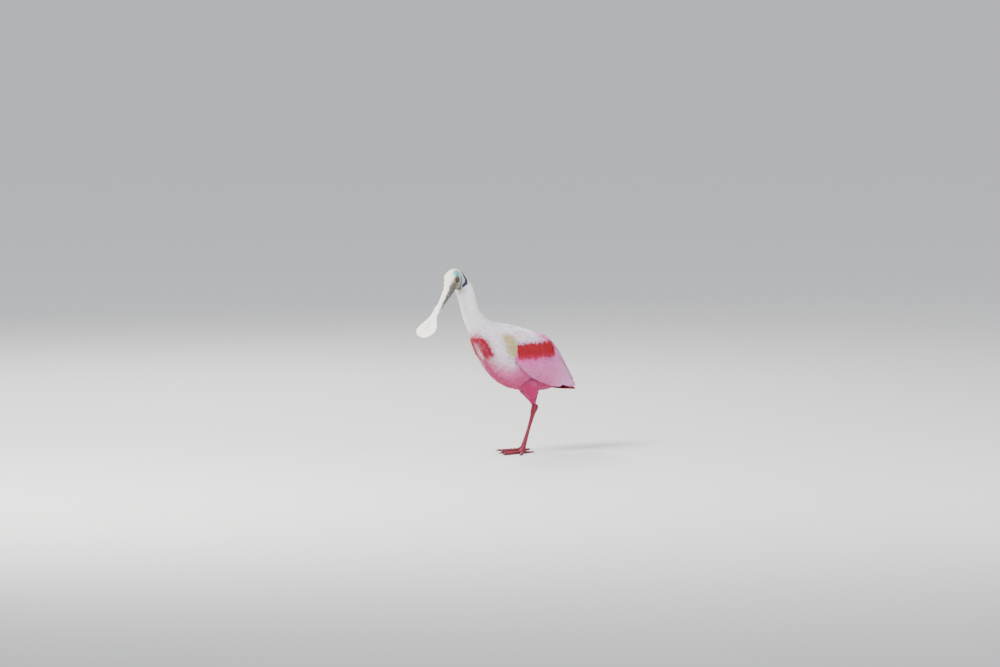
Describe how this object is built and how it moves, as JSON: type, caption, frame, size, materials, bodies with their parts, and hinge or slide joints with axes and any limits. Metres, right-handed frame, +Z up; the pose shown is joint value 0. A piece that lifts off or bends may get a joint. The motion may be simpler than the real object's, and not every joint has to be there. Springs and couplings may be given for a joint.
{
  "type": "roseate spoonbill",
  "caption": "Life-size standing roseate spoonbill with folded wings, raised neck and lowered spoon-shaped bill.",
  "frame": {"origin": "on the floor, under the middle of the whole bird seen from above", "axes": "+Z up; the bird faces -X, with its left side towards -Y"},
  "size_m": [0.6186, 0.1418, 0.496],
  "materials": {
    "white_plumage": "soft matte feathers",
    "pink_plumage": "soft matte feathers",
    "wing_plumage": "satin flight feathers",
    "carmine_plumage": "loose hair-like plumes",
    "tail_plumage": "satin flight feathers",
    "head_skin": "bare wrinkled skin",
    "bill_horn": "worn horn with a soft sheen",
    "leg_skin": "scaled skin",
    "claw_horn": "polished horn",
    "eye": "wet gloss"
  },
  "bodies": {
    "root": {"neck_upper": "white_plumage", "neck_lower": "white_plumage", "torso": "white_plumage", "head": "head_skin", "eye_left": "eye", "eye_right": "eye", "bill_upper": "bill_horn", "bill_lower": "bill_horn", "wing_left": "wing_plumage", "wing_right": "wing_plumage", "tail": "tail_plumage", "thigh_left": "pink_plumage", "shank_left": "leg_skin", "tarsus_left": "leg_skin", "foot_left": "leg_skin", "claw_left_inner": "claw_horn", "claw_left_middle": "claw_horn", "claw_left_outer": "claw_horn", "claw_left_back": "claw_horn", "thigh_right": "pink_plumage", "shank_right": "leg_skin", "tarsus_right": "leg_skin", "foot_right": "leg_skin", "claw_right_inner": "claw_horn", "claw_right_middle": "claw_horn", "claw_right_outer": "claw_horn", "claw_right_back": "claw_horn"}
  },
  "joints": []
}
